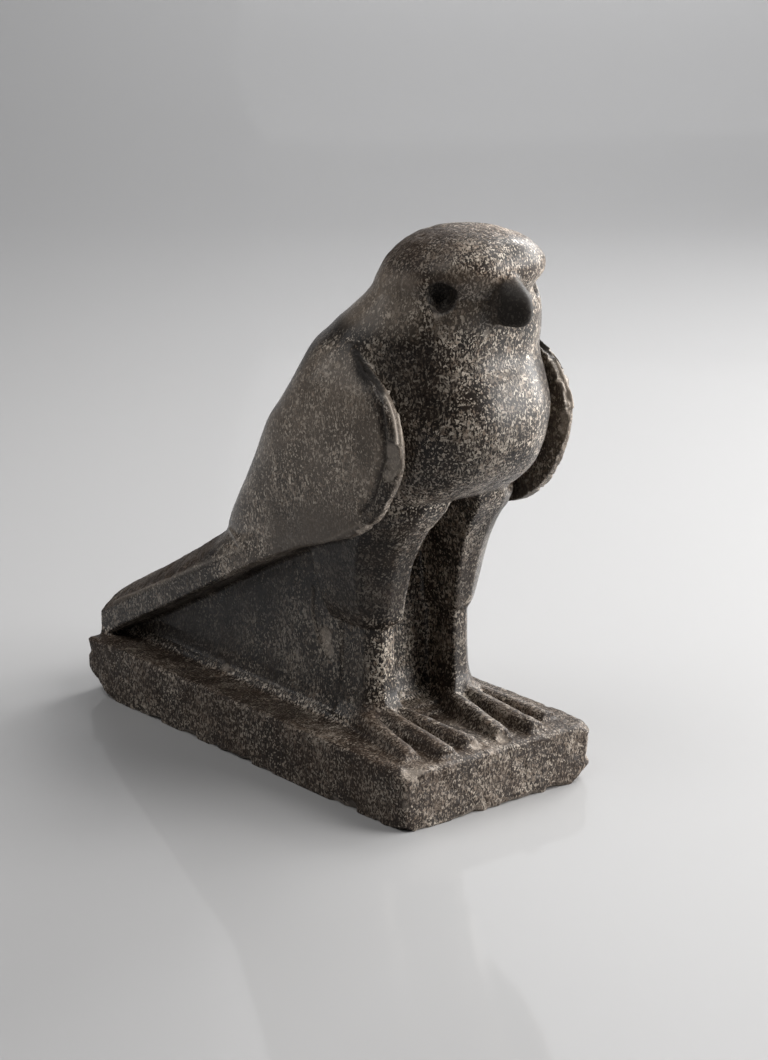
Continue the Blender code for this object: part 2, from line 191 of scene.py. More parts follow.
# Dark notch where a wing's front edge leaves the shoulder: x, y, level, half width, depth.
# NOTCH_LEAD is how far it is open in front, and NOTCH_FLOOR its floor's share of the width.
NOTCH = [
    (-41.0, -70.0, 157.9, 0.3, 0.8), (-41.5, -73.4, 155.8, 0.8, 2.2), (-42.2, -77.0, 153.2, 1.4, 3.3),
    (-42.7, -81.3, 150.6, 1.6, 3.3), (-43.0, -85.2, 148.2, 1.3, 2.2), (-43.2, -88.8, 145.2, 0.5, 0.8),
]
NOTCH_STEPS = 4
NOTCH_LEAD = 2.5
NOTCH_FLOOR = 0.3

# Beak: the same columns as the trunk
BEAK = [
    (191.5, 2.2, -106.0, -109.5, -99.0, 1.8, 2.0),
    (189.7, 4.0, -106.0, -112.3, -98.0, 1.8, 2.0),
    (187.6, 5.6, -106.0, -115.3, -98.0, 1.8, 2.0),
    (185.3, 6.8, -106.0, -118.5, -98.0, 1.7, 2.0),
    (182.2, 7.5, -106.0, -121.8, -98.0, 1.7, 2.0),
    (178.6, 7.7, -106.0, -123.3, -98.0, 1.7, 2.0),
    (174.6, 7.1, -106.0, -122.8, -98.0, 1.7, 2.0),
    (172.2, 6.2, -106.0, -121.0, -98.0, 1.8, 2.0),
    (170.6, 4.8, -106.0, -118.0, -98.0, 1.9, 2.0),
]

# Hollows beside the beak and at the eyes: x, y, level and the three radii. EYE_SHADE gives the radii
# of the painted black shade around an eye, and BROW_LINE the brow's lower edge, as distance to the side and
# level;
# the near side of the face below that edge is painted in shade.
LORE_HOLLOW = (16.5, -115.6, 181.0, 12.0, 8.6, 7.2)
EYE_SOCKET = (24.6, -100.4, 182.4, 5.6, 5.8, 6.2)
EYE_SHADE = (6.5, 6.7, 7.0)
BROW_LINE = ((0, 5.4, 10, 14.8, 18.5, 21, 27), (189.6, 188.4, 190.1, 192.4, 194.4, 196, 197))

# The upper part of the near wing's rim is whole: no random chips above this level
WHOLE_RIM_LEVEL = 124

# Broken corners of the plinth: side, end, top or bottom, and the break's run along x, y and z
BREAKS = [
    (-1, 1, -1, 0.020, 0.016, 0.0110),
    (1, -1, 1, 0.008, 0.006, 0.0055),
    (1, -1, -1, 0.0105, 0.008, 0.0075),
    (-1, -1, 1, 0.008, 0.011, 0.0050),
    (-1, -1, -1, 0.005, 0.009, 0.0030),
    (1, 1, 1, 0.007, 0.010, 0.0040),
]

# Lines cut into the stone or left standing on it, along pixels of the photograph: path,
# half width and height in millimetres (below zero is a groove), and whether the hidden side has it too
LINES = [
    ([(377, 388), (381, 400), (383, 423), (384, 443), (384, 460), (379, 480),
      (373, 498), (362, 512)], 1.0, -1.0, True),
    ([(383, 393), (389, 405), (393, 418), (395, 430), (396.5, 444)], 0.5, 0.9, True),
    ([(388, 392), (394, 403), (397.5, 417), (400, 430), (401, 445)], 0.5, 0.9, True),
    ([(401, 272), (399, 288), (401, 308), (406, 332)], 1.3, -0.3, True),
    ([(539, 347), (549, 361), (558, 379), (564, 397), (565, 410)], 0.9, 0.4, False),
    ([(245, 548), (222, 557), (200, 566), (160, 584), (136, 594), (115, 602)], 1.1, 0.9, True),
    ([(230, 529), (235, 537), (240, 545)], 0.8, 0.6, True),
    ([(362, 524), (330, 540), (280, 555), (220, 580), (180, 603), (112, 631)], 0.9, 0.4, True),
    ([(313, 588), (312, 610), (318, 640)], 0.8, 0.5, True),
]

# Chips and gouges at pixels of the photograph: u, v, radius and depth in millimetres
CHIPS = [
    (338, 365, 1.7, 0.5), (391, 452, 4.0, 1.0), (394, 466, 4.5, 1.2), (388, 476, 3.0, 0.7),
    (325, 636, 4.5, 1.1), (329, 650, 3.5, 0.9), (370, 527, 2.5, 0.7), (565, 418, 3.6, 1.3),
    (563, 430, 3.0, 1.0), (415, 771, 6.0, 1.4), (478, 746, 3.2, 0.8), (503, 739, 3.0, 0.8),
    (437, 315, 1.8, 0.4), (487, 333, 2.0, 0.4), (101, 604, 3.0, 0.8), (225, 668, 2.6, 0.5),
]

# Lights: name, azimuth and elevation in degrees, distance, width and height in metres, watts, colour
LIGHTS = [
    ("key_low", 42, 12, 1.3, 0.8, 0.7, 8.4, (1.0, 0.985, 0.965)),
    ("key_high", 44, 50, 1.3, 0.7, 0.8, 5.4, (1.0, 0.985, 0.965)),
    ("right_low", 76, 14, 1.3, 0.5, 0.8, 6.4, (1.0, 0.99, 0.97)),
    ("right_strip", 103, 30, 1.3, 0.5, 0.8, 7.4, (1.0, 0.99, 0.97)),
    ("left_top", -84, 60, 1.3, 0.7, 0.7, 2.8, (1.0, 0.985, 0.965)),
    ("left_low", -95, 14, 1.3, 0.7, 0.7, 0.25, (1.0, 0.985, 0.965)),
    ("back_left", -140, 20, 1.3, 0.7, 0.7, 0.8, (1.0, 1.0, 1.0)),
    ("overhead", 0, 89, 1.3, 1.2, 1.2, 1.0, (1.0, 1.0, 1.0)),
]
BEAM_SPREAD = 120
LIGHT_TARGET = (0, 0, 0.1)
# A light for the paper alone, behind the falcon and turned away from it: place, target, size, watts
BACKDROP_LIGHT = ((1.25, 1.05, 1.5), (2.1, 1.9, 0.0), 1.0, 27.0)
WORLD_COLOUR = (0.8, 0.8, 0.8, 1)
WORLD_STRENGTH = 0.05

# The paper sweep, metres from the middle of the plinth
SWEEP_FRONT = 0.42
SWEEP_LEFT = 1.2
SWEEP_RIGHT = 2.0
SWEEP_BACK = 1.1
SWEEP_RADIUS = 0.9
SWEEP_HEIGHT = 2.4
SWEEP_STEPS = 16
PAPER_DROP = 0.0001
PAPER = (0.335, 0.335, 0.34, 1)

# Colours of the stone: its dark ground, the grain in the ground, the flecks, the even tone of
# polished faces (partly a painted sheen), bleached worn stone (on ridges partly a painted highlight),
# and a black that is painted shade in the eyes, on the beak and in the notches, and dirt with painted shade
# in grooves
GROUND_DARK = (0.0075, 0.0055, 0.0045, 1)
GROUND_LIGHT = (0.0155, 0.0105, 0.0075, 1)
GROUND_BROWN = (0.024, 0.0125, 0.0060, 1)
GRAIN = (0.070, 0.058, 0.049, 1)
FLECK_DIM = (0.185, 0.152, 0.122, 1)
FLECK_BRIGHT = (0.62, 0.545, 0.458, 1)
FLECK_ROSE = (0.38, 0.285, 0.215, 1)
FLECK_BROWN = (0.33, 0.215, 0.14, 1)
EVEN_TONE_AND_SHEEN = (0.205, 0.168, 0.135, 1)
WORN_AND_HIGHLIT = (0.48, 0.42, 0.36, 1)
BLACK_SHADE_AND_DIRT = (0.010, 0.008, 0.007, 1)


def at(x, y, z):
    """A place of the figure, given in parts, in the frame of the whole object."""
    return Vector((x * PART, FIGURE_Y + y * PART, FIGURE_Z + z * PART))


def catmull(p0, p1, p2, p3, t):
    return tuple(0.5 * (2 * b + (c - a) * t + (2 * a - 5 * b + 4 * c - d) * t * t
                        + (3 * b - a - 3 * c + d) * t ** 3) for a, b, c, d in zip(p0, p1, p2, p3))


def smooth_rows(rows, steps):
    """Rows between the given ones, on a smooth curve through them."""
    out = []
    last = len(rows) - 1
    for i in range(last):
        p0 = rows[max(i - 1, 0)]
        p3 = rows[min(i + 2, last)]
        for k in range(steps):
            out.append(catmull(p0, rows[i], rows[i + 1], p3, k / steps))
    out.append(tuple(rows[-1]))
    return out


def signed_power(value, power):
    return math.copysign(abs(value) ** power, value)


def level_ring(row):
    """A closed horizontal section: an ellipse or a squarer oval with its own front and back."""
    level, half, middle, front, back, n_front, n_back = row
    ring = []
    for k in range(RING_POINTS):
        turn = 2 * math.pi * k / RING_POINTS
        c, s = math.cos(turn), math.sin(turn)
        n = n_front if s < 0 else n_back
        depth = middle - front if s < 0 else back - middle
        ring.append(at(half * signed_power(c, 2 / n), middle + depth * signed_power(s, 2 / n), level))
    return ring


def new_object(bm, name):
    mesh = bpy.data.meshes.new(name)
    bm.to_mesh(mesh)
    bm.free()
    obj = bpy.data.objects.new(name, mesh)
    bpy.context.collection.objects.link(obj)
    return obj


def loft(rings, name):
    """A closed solid through rings of as many points each."""
    bm = bmesh.new()
    loops = [[bm.verts.new(p) for p in ring] for ring in rings]
    for low, high in zip(loops, loops[1:]):
        count = len(low)
        for k in range(count):
            bm.faces.new((low[k], low[(k + 1) % count], high[(k + 1) % count], high[k]))
    bm.faces.new(loops[0])
    bm.faces.new(loops[-1])
    bmesh.ops.recalc_face_normals(bm, faces=bm.faces)
    return new_object(bm, name)


def leg_ring(side, inner, outer, front, back, run_x, run_y, level):
    """A leg's section: a box whose corners are quarter ellipses of their own sizes."""
    corners = [
        (outer - run_x, front + run_y, run_x, run_y, -90),
        (outer - LEG_BACK_CORNER, back - LEG_BACK_CORNER, LEG_BACK_CORNER, LEG_BACK_CORNER, 0),
        (inner + LEG_EDGE, back - LEG_EDGE, LEG_EDGE, LEG_EDGE, 90),
        (inner + LEG_EDGE, front + LEG_EDGE, LEG_EDGE, LEG_EDGE, 180),
    ]
    ring = []
    for x, y, radius_x, radius_y, start in corners:
        flat = LEG_CHAMFER if start == -90 else 1.0
        for k in range(13):
            turn = math.radians(start + 90 * k / 12)
            c = signed_power(math.cos(turn), flat)
            s = signed_power(math.sin(turn), flat)
            ring.append(at(side * (x + radius_x * c), y + radius_y * s, level))
    return ring


def oval(centre_x, centre_y, half_x, half_y, level, n, count=48):
    ring = []
    for k in range(count):
        turn = 2 * math.pi * k / count
        c, s = math.cos(turn), math.sin(turn)
        ring.append(at(centre_x + half_x * signed_power(c, 2 / n),
                       centre_y + half_y * signed_power(s, 2 / n), level))
    return ring


def ball(x, y, z, radius_x, radius_y, radius_z, name):
    bm = bmesh.new()
    bmesh.ops.create_uvsphere(bm, u_segments=48, v_segments=32, radius=1.0)
    for v in bm.verts:
        v.co = at(x + radius_x * v.co.x, y + radius_y * v.co.y, z + radius_z * v.co.z)
    return new_object(bm, name)


def use_boolean(obj, cutter, operation):
    modifier = obj.modifiers.new(cutter.name, "BOOLEAN")
    modifier.operation = operation
    modifier.object = cutter


def bake(obj):
    """Turns an object's modifiers into its mesh."""
    bpy.context.view_layer.update()
    graph = bpy.context.evaluated_depsgraph_get()
    mesh = bpy.data.meshes.new_from_object(obj.evaluated_get(graph))
    cutters = [m.object for m in obj.modifiers if m.type == "BOOLEAN"]
    obj.modifiers.clear()
    obj.data = mesh
    for cutter in cutters:
        bpy.data.objects.remove(cutter)
    return obj


def cut_notch(obj, side):
    rings = []
    for x, y, level, half, depth in smooth_rows(NOTCH, NOTCH_STEPS):
        front, floor = y - NOTCH_LEAD, y + depth
        across = [(x - half, front), (x + half, front),
                  (x + half * NOTCH_FLOOR, floor), (x - half * NOTCH_FLOOR, floor)]
        rings.append([at(-side * px, py, level) for px, py in across])
    use_boolean(obj, loft(rings, "notch"), "DIFFERENCE")


def make_trunk():
    trunk = loft([level_ring(row) for row in smooth_rows(TRUNK, ROW_STEPS)], "trunk")
    for side in (-1, 1):
        for name, hollow in (("lore_hollow", LORE_HOLLOW), ("eye_socket", EYE_SOCKET)):
            x, y, z, radius_x, radius_y, radius_z = hollow
            use_boolean(trunk, ball(side * x, y, z, radius_x, radius_y, radius_z, name), "DIFFERENCE")
        cut_notch(trunk, side)
    return bake(trunk)


def side_prism(outline, half_width, name):
    return loft([[at(x, y, z) for y, z in outline] for x in (-half_width, half_width)], name)


def make_mantle():
    body = loft([level_ring(row) for row in smooth_rows(MANTLE, ROW_STEPS)], "mantle")
    outline = smooth_rows(WING_FRONT, 8) + WING_LOWER
    outline = outline + [(150.0, 0.5), (150.0, 250.0), (-68.0, 250.0)]
    use_boolean(body, side_prism(outline, 60.0, "wing_outline"), "INTERSECT")
    inner = WING_PLATE_INNER
    gap = loft([[at(x, y, z) for x, y in ((-inner, -130), (inner, -130), (inner, WING_PLATE_DEPTH),
                                          (-inner, WING_PLATE_DEPTH))] for z in (60.0, 180.0)], "breast_gap")
    use_boolean(body, gap, "DIFFERENCE")
    for side in (-1, 1):
        cut_notch(body, side)
    return bake(body)


def make_tail():
    rings = []
    for y, low, half, side, rise in smooth_rows(TAIL, ROW_STEPS):
        ring = [at(-half + 2.0, y, low), at(half - 2.0, y, low), at(half, y, low + 0.8)]
        for k in range(37):
            across = math.cos(math.pi * k / 36)
            ring.append(at(half * across, y, low + side + rise * (1 - abs(across) ** TAIL_DOME)))
        ring.append(at(-half, y, low + 0.8))
        rings.append(ring)
    return loft(rings, "tail")


def make_leg(side):
    parts = []
    for name, rows in (("thigh", THIGH), ("shank", SHANK)):
        rings = []
        for level, inner, outer, front, back, run_x, run_y in smooth_rows(rows, LEG_STEPS):
            rings.append(leg_ring(side, inner, outer, front, back, run_x, run_y, level))
        parts.append(loft(rings, name))
    low = -SINK / PART
    parts.append(loft([oval(side * 22.0, -57.0, 11.0, 14.0, low, 3.0),
                       oval(side * 22.0, -57.0, 10.0, 13.0, 3.0, 3.0),
                       oval(side * 22.0, -55.0, 8.0, 10.0, 7.6, 2.6)], "foot"))
    for root_x, root_y, tip_x, tip_y, root_h, tip_h, width in TOES:
        rings = []
        for k in range(17):
            t = k / 16
            x = root_x + (tip_x - root_x) * t
            y = root_y + (tip_y - root_y) * t
            h = root_h + (tip_h - root_h) * t
            w = width / 2 * (1 - 0.15 * t)
            shape = [(-w, low), (w, low), (w, h * 0.35), (w * 0.72, h * 0.8), (w * 0.25, h),
                     (-w * 0.25, h), (-w * 0.72, h * 0.8), (-w, h * 0.35)]
            rings.append([at(side * (x + dx), y, z) for dx, z in shape])
        parts.append(loft(rings, "toe"))
    return parts


def make_web():
    rings = []
    for level, half in [(-SINK / PART, WEB[0][1] + 1.5)] + WEB:
        rings.append([at(-half, WEB_FRONT, level), at(half, WEB_FRONT, level), at(half, 104.0, level),
                      at(-half, 104.0, level)])
    web = loft(rings, "web")
    outline = [(-80.0, -12.0), (-80.0, 92.0)] + [(y, z + 3.0) for y, z in WING_LOWER] + [(108.0, -12.0)]
    use_boolean(web, side_prism(outline, 60.0, "web_outline"), "INTERSECT")
    return bake(web)


def make_web_foot():
    """The web's foot carried on into the feet."""
    rings = []
    for level, half in [(-SINK / PART, WEB[0][1] + 1.5)] + WEB[:3]:
        rings.append([at(-half, WEB_FOOT_FRONT, level), at(half, WEB_FOOT_FRONT, level),
                      at(half, WEB_FRONT + 4.0, level), at(-half, WEB_FRONT + 4.0, level)])
    return loft(rings, "web_foot")


def make_filling():
    rings = []
    half = BETWEEN_HALF_WIDTH
    for level, front in BETWEEN_SHANKS + [(-SINK / PART, -64.0)]:
        rings.append([at(-half, front, level), at(half, front, level),
                      at(half, -30.0, level), at(-half, -30.0, level)])
    return loft(rings, "filling")


def make_plinth():
    bm = bmesh.new()
    bmesh.ops.create_cube(bm, size=1.0)
    for v in bm.verts:
        v.co.x = v.co.x * PLINTH_WIDTH
        v.co.y = v.co.y * PLINTH_LENGTH
        v.co.z = PLINTH_THICKNESS if v.co.z > 0 else -CUT_AWAY
    edges = [e for e in bm.edges if max(v.co.z for v in e.verts) > 0]
    bmesh.ops.bevel(bm, geom=edges, offset=PLINTH_EDGE_WEAR, segments=2, affect="EDGES")
    for side, end, top, run_x, run_y, run_z in BREAKS:
        level = PLINTH_THICKNESS if top > 0 else 0.0
        corner = Vector((side * PLINTH_WIDTH / 2, end * PLINTH_LENGTH / 2, level))
        normal = Vector((side / run_x, end / run_y, top / run_z))
        cut = bmesh.ops.bisect_plane(bm, geom=bm.verts[:] + bm.edges[:] + bm.faces[:],
                                     plane_co=corner - Vector((side * run_x, 0, 0)), plane_no=normal,
                                     clear_outer=True)
        bmesh.ops.holes_fill(bm, edges=[e for e in cut["geom_cut"] if isinstance(e, bmesh.types.BMEdge)])
    return new_object(bm, "plinth")


def join(parts, name):
    bm = bmesh.new()
    for part in parts:
        bm.from_mesh(part.data)
        bpy.data.objects.remove(part)
    return new_object(bm, name)


def saw_flat(obj):
    """Saws the stone off along the underside, z = 0, and closes it with one flat face."""
    bm = bmesh.new()
    bm.from_mesh(obj.data)
    for v in bm.verts:
        if abs(v.co.z) < SAW_SNAP:
            v.co.z = 0.0
    bmesh.ops.bisect_plane(bm, geom=bm.verts[:] + bm.edges[:] + bm.faces[:], dist=1e-6,
                           plane_co=(0, 0, 0), plane_no=(0, 0, 1), clear_inner=True)
    flat = [f for f in bm.faces if all(abs(v.co.z) < 1e-7 for v in f.verts)]
    bmesh.ops.delete(bm, geom=flat, context="FACES")
    bmesh.ops.holes_fill(bm, edges=[e for e in bm.edges if e.is_boundary])
    bmesh.ops.recalc_face_normals(bm, faces=bm.faces)
    bm.to_mesh(obj.data)
    bm.free()


def camera_axes():
    a, e = math.radians(CAMERA_AZIMUTH), math.radians(CAMERA_ELEVATION)
    right = Vector((math.cos(a), math.sin(a), 0))
    up = Vector((-math.sin(a) * math.sin(e), math.cos(a) * math.sin(e), math.cos(e)))
    back = Vector((math.sin(a) * math.cos(e), -math.cos(a) * math.cos(e), math.sin(e)))
    place = right * TARGET_RIGHT + up * TARGET_UP + back * CAMERA_DISTANCE
    return right, up, back, place


def add_camera():
    right, up, back, place = camera_axes()
    data = bpy.data.cameras.new("photo_camera")
    data.sensor_width = 36.0
    data.sensor_fit = "AUTO"
    data.lens = FOCAL_PIXELS / IMAGE_HEIGHT * 36.0
    data.clip_start = 0.01
    obj = bpy.data.objects.new("photo_camera", data)
    bpy.context.collection.objects.link(obj)
    rows = [(right[i], up[i], back[i], place[i]) for i in range(3)]
    obj.matrix_world = Matrix(rows + [(0, 0, 0, 1)])
    bpy.context.scene.camera = obj


def on_stone(tree, u, v):
    """The place on the stone that shows at a pixel of the photograph, and its normal."""
    right, up, back, place = camera_axes()
    ray = (right * ((u - IMAGE_WIDTH / 2) / FOCAL_PIXELS)
           - up * ((v - IMAGE_HEIGHT / 2) / FOCAL_PIXELS) - back).normalized()
    return tree.ray_cast(place, ray)[:2]


def lattice(ix, iy, iz, seed):
    h = (ix * 374761393 + iy * 668265263 + iz * 1103515245 + seed * 1274126177) & 0xFFFFFFFF
    h = ((h ^ (h >> 13)) * 1274126177) & 0xFFFFFFFF
    h = h ^ (h >> 16)
    return (h & 0xFFFFFF) / float(0xFFFFFF)


def noise3(points, size, seed):
    """Smooth noise from -1 to 1, with features of the given size."""
    q = points / size
    base = np.floor(q).astype(np.int64)
    f = q - base
    f = f * f * (3 - 2 * f)
    total = np.zeros(len(points))
    for dx in (0, 1):
        for dy in (0, 1):
            for dz in (0, 1):
                weight = ((f[:, 0] if dx else 1 - f[:, 0]) * (f[:, 1] if dy else 1 - f[:, 1])
                          * (f[:, 2] if dz else 1 - f[:, 2]))
                total += weight * lattice(base[:, 0] + dx, base[:, 1] + dy, base[:, 2] + dz, seed)
    return total * 2 - 1


def ramp(value, low, high):
    t = np.clip((value - low) / (high - low), 0, 1)
    return t * t * (3 - 2 * t)


def read_mesh(mesh):
    count = len(mesh.vertices)
    places = np.empty(count * 3)
    mesh.vertices.foreach_get("co", places)
    normals = np.empty(count * 3)
    mesh.vertices.foreach_get("normal", normals)
    return places.reshape(-1, 3), normals.reshape(-1, 3)


def path_distance(places, path):
    """Distance of every place from a line through points."""
    best = np.full(len(places), 1e9)
    for a, b in zip(path, path[1:]):
        a, b = np.array(a), np.array(b)
        run = b - a
        t = np.clip(((places - a) @ run) / max(run @ run, 1e-12), 0, 1)
        best = np.minimum(best, np.linalg.norm(places - (a + t[:, None] * run), axis=1))
    return best


def flatten_chip(places, pale, centre, outward, radius, depth, strength):
    """Knocks a shallow facet off the stone: nothing stays above a plane near the centre."""
    offset = places - centre
    distance = np.linalg.norm(offset, axis=1)
    near = np.nonzero(distance < radius)[0]
    if not len(near):
        return
    height = offset[near] @ outward + depth
    weight = ramp(1 - distance[near] / radius, 0.0, 0.45)
    move = np.clip(height, 0, None) * weight
    places[near] -= move[:, None] * outward
    pale[near] = np.maximum(pale[near], np.clip(move / (depth * 0.6), 0, 1) * strength)


def black_places(x, back, level, side, halved):
    """The painted black shade in the eyes, on the beak and in the notches, from 0 to 1."""
    eye_x, eye_y, eye_level = EYE_SOCKET[:3]
    eye = np.zeros(len(x))
    for mirror in (-1, 1):
        offset = np.stack([x / PART - mirror * eye_x, back - eye_y, level - eye_level], axis=1)
        eye = np.maximum(eye, ramp(-np.linalg.norm(offset / EYE_SHADE, axis=1), -1.0, -0.86))
    beak = ramp(-back, 110.5, 113.0) * ramp(level, 168, 171) * ramp(-level, -190, -186)
    beak = beak * ramp(-side, -9.5, -8.0)
    slot = np.full(len(x), 1.0)
    for sx, sy, sz, half, depth in smooth_rows(NOTCH, NOTCH_STEPS):
        reach = np.linalg.norm(halved - np.array(at(-sx, sy + 0.75 * depth, sz)), axis=1)
        slot = np.minimum(slot, reach - (half + 1.0) * PART)
    return np.clip(eye * 0.74 + beak * 0.82 + ramp(-slot, -0.0007, 0.0001) * 0.95, 0, 0.92)


def regions(places, normals):
    """Shares of the stone's kinds: rough, brown, an even tone that is partly a painted sheen, painted shade
    (faces turned from the lights, under the brow, in recesses) and black (painted shade, with dirt in
    grooves).
    """
    x, y, z = places.T
    level = (z - FIGURE_Z) / PART
    back = (y - FIGURE_Y) / PART
    side = np.abs(x) / PART
    wave = noise3(places, 0.016, 5) * 0.35 + noise3(places, 0.007, 6) * 0.2
    plinth = ramp(-level, -2.5, 0.5)
    crown = ramp(level + wave * 14, 186, 196) * ramp(back, -112, -98)
    tail = ramp(back, 18, 34) * ramp(normals[:, 2], 0.1, 0.5) * ramp(level, 2, 8)
    feet = ramp(-level, -13, -9) * ramp(-back, 50, 60)
    under = ramp(-normals[:, 2], 0.1, 0.5) * 0.6
    rough = np.clip(np.maximum.reduce([plinth, crown * 0.8, tail, feet * 0.8, under]) + wave * 0.35, 0, 1)
    brow = ramp(level, 184, 188) * ramp(-level, -197, -189) * ramp(-back, 62, 80)
    brown = np.clip(np.maximum.reduce([plinth * 0.8, crown, tail * 0.9, feet * 0.9, brow])
                    * (0.7 + wave * 1.2), 0, 1)
    ridge = np.interp(back, [row[0] for row in TAIL], [row[1] + row[3] for row in TAIL])
    wing = ramp(side, 36, 44) * ramp(level, 12, 30) * ramp(-level, -165, -150)
    wing = wing * (1 - ramp(back, 0, 16) * ramp(ridge + 5 - level, -2, 2))
    cheek = ramp(back, -98, -89) * ramp(level, 163, 172) * ramp(-level, -193, -186) * ramp(side, 9, 20)
    # An even tone on the wings and cheeks: the polished stone's tone and partly a painted sheen veil.
    even_tone_and_sheen = np.clip(np.maximum(wing, cheek) * (0.9 + wave), 0, 1)
    web = ramp(-side, -36, -32) * ramp(back, -48, -36) * ramp(-level, -84, -70) * ramp(level, 1, 5)
    legs = ramp(side, 8, 16) * ramp(-level, -104, -88) * ramp(level, 2, 9)
    legs = legs * ramp(-np.abs(back + 52), -40, -22)
    neck = ramp(level, 128, 140) * ramp(-level, -176, -166) * ramp(-side, -42, -36)
    dome = ramp(level - ridge, -0.5, 1.0) * ramp(back, 2, 22)
    flank = ramp(ridge - level, -0.5, 1.0) * ramp(back, 8, 26) * ramp(level, 1, 6) * ramp(side, 26, 34)
    # Painted shade on the near side of the face, below the brow's lower edge.
    below_brow = np.interp(side, *BROW_LINE) - level
    face = ramp(-back, 95, 101) * ramp(level, 165, 172) * ramp(below_brow, -0.3, 1.5)
    face = face * ramp(-x, -0.008, -0.003)
    rim_path = [tuple(at(RIM_X, y + 2.0, z)) for y, z in WING_FRONT[1:8]]
    halved = np.abs(places * (1, 0, 0)) + places * (0, 1, 1)
    rim = ramp(-path_distance(halved, rim_path), -0.0044, -0.0028) * (x < 0)
    even_tone_and_sheen = even_tone_and_sheen * (1 - 0.9 * rim) * (1 - 0.4 * ramp(-level, -118, -96) * ramp(side, 30, 36))
    even_tone_and_sheen = np.maximum(even_tone_and_sheen, face * 0.3)
    # Front faces of the near lower legs face the key light and are spared the painted shade; so are the
    # fronts of the neck and the inner faces of the legs.
    lit = ramp(-normals[:, 1], 0.35, 0.75) * ramp(-level, -50, -42) * (x < 0)
    legs = legs * (1 - lit) * (1 - 0.9 * ramp(back, -51, -48) * ramp(-side, -16, -13))
    neck = neck * (1 - ramp(-normals[:, 1], 0.75, 0.93))
    inner = ramp(-normals[:, 0] * np.sign(x), 0.3, 0.8) * ramp(-side, -24, -16) * ramp(-level, -104, -90)
    legs = legs * (1 - 0.75 * inner)
    # Painted shade on the near side of the chest and the crown, and on the near side and the top of the
    # plinth.
    chest = ramp(level, 100, 112) * ramp(-level, -168, -156) * ramp(-back, 70, 84) * ramp(-x, -0.018, 0.006)
    crown_side = crown * ramp(-x, -0.006, 0.012)
    plinth_faces = plinth * np.maximum(ramp(-x, 0.030, 0.046), ramp(normals[:, 2], 0.6, 0.9))
    # Painted shade: the stone is darkened on the web under the tail, the legs and feet, the neck, the tail,
    # the wings' front rims, the face under the brow and the near side of the crown, chest and plinth.
    painted_shade = np.maximum.reduce([web, legs, neck, dome, rim, tail, crown_side, even_tone_and_sheen * 0.1, flank * 0.75,
                              face * 0.9, feet * 0.7, chest * 0.5, plinth_faces * 0.75])
    painted_shade = np.clip(painted_shade * (0.85 + wave * 0.8), 0, 1)
    # Painted black shade in the eyes, on the beak and in the notches; carve adds dirt and painted shade in
    # the grooves.
    black_shade_and_dirt = black_places(x, back, level, side, halved)
    return {"rough": rough, "brown": brown, "even_tone_and_sheen": even_tone_and_sheen, "painted_shade": painted_shade, "black_shade_and_dirt": black_shade_and_dirt}


def plinth_chips(rng):
    """Chips along the edges of the plinth: centre, outward direction, radius and depth."""
    x, y = PLINTH_WIDTH / 2, PLINTH_LENGTH / 2
    chips = []
    for level, top, count, large in ((PLINTH_THICKNESS, 1, 46, 3.4), (0.0, -1, 84, 5.2)):
        for k in range(count):
            along = rng.random()
            if rng.random() < PLINTH_LENGTH / (PLINTH_LENGTH + PLINTH_WIDTH):
                side = rng.choice((-1, 1))
                centre, out = (side * x, (along * 2 - 1) * y, level), (side, 0, top)
            else:
                end = rng.choice((-1, 1))
                centre, out = ((along * 2 - 1) * x, end * y, level), (0, end, top)
            out = Vector([v + rng.uniform(-0.45, 0.45) for v in out]).normalized()
            radius = rng.uniform(1.6, large) * MM
            chips.append((centre, out, radius * 1.3, radius * rng.uniform(0.16, 0.34)))
    for side in (-1, 1):
        for end in (-1, 1):
            for k in range(5):
                centre = (side * x, end * y, rng.random() * PLINTH_THICKNESS)
                out = Vector((side, end, rng.uniform(-0.6, 0.6))).normalized()
                radius = rng.uniform(2.2, 4.5) * MM
                chips.append((centre, out, radius * 1.4, radius * rng.uniform(0.2, 0.4)))
    return chips


def rim_chips(rng):
    """Small chips along the front edges of both wings."""
    chips = []
    rim = smooth_rows(WING_FRONT, 6)
    for side in (-1, 1):
        for k in range(26):
            y, z = rim[rng.randrange(8, len(rim) - 6)]
            x = side * rng.choice((41.0, 44.5, 46.0))
            out = Vector((side * rng.uniform(0.1, 0.9), -1.0, rng.uniform(-0.4, 0.4))).normalized()
            radius = rng.uniform(1.0, 2.4) * MM
            depth = radius * rng.uniform(0.12, 0.28)
            if side > 0 or z <= WHOLE_RIM_LEVEL:
                chips.append((tuple(at(x, y, z)), out, radius * 1.4, depth))
    return chips


def find_lines(obj):
    """The paths of the cut and raised lines on the stone, on both sides of the figure."""
    places = read_mesh(obj.data)[0]
    tree = BVHTree.FromPolygons([Vector(p) for p in places], [tuple(p.vertices) for p in obj.data.polygons])
    found = []
    for path, half, height, both in LINES:
        spots = [on_stone(tree, u, v)[0] for u, v in path]
        spots = [s for s in spots if s is not None]
        for side in ((1, -1) if both else (1,)):
            found.append(([(s.x * side, s.y, s.z) for s in spots], half * MM, height * MM))
    return tree, found


def refine(obj, paths):
    """Splits the edges of the mesh near the lines, so that fine forms have points to stand on."""
    places = read_mesh(obj.data)[0]
    near = np.zeros(len(places), dtype=bool)
    for path, half, height in paths:
        near |= path_distance(places, path) < half + REFINE_MARGIN
    bm = bmesh.new()
    bm.from_mesh(obj.data)
    bm.verts.ensure_lookup_table()
    edges = [e for e in bm.edges if near[e.verts[0].index] and near[e.verts[1].index]]
    bmesh.ops.subdivide_edges(bm, edges=edges, cuts=1, use_grid_fill=True)
    bmesh.ops.triangulate(bm, faces=[f for f in bm.faces if len(f.verts) > 4])
    bm.to_mesh(obj.data)
    bm.free()


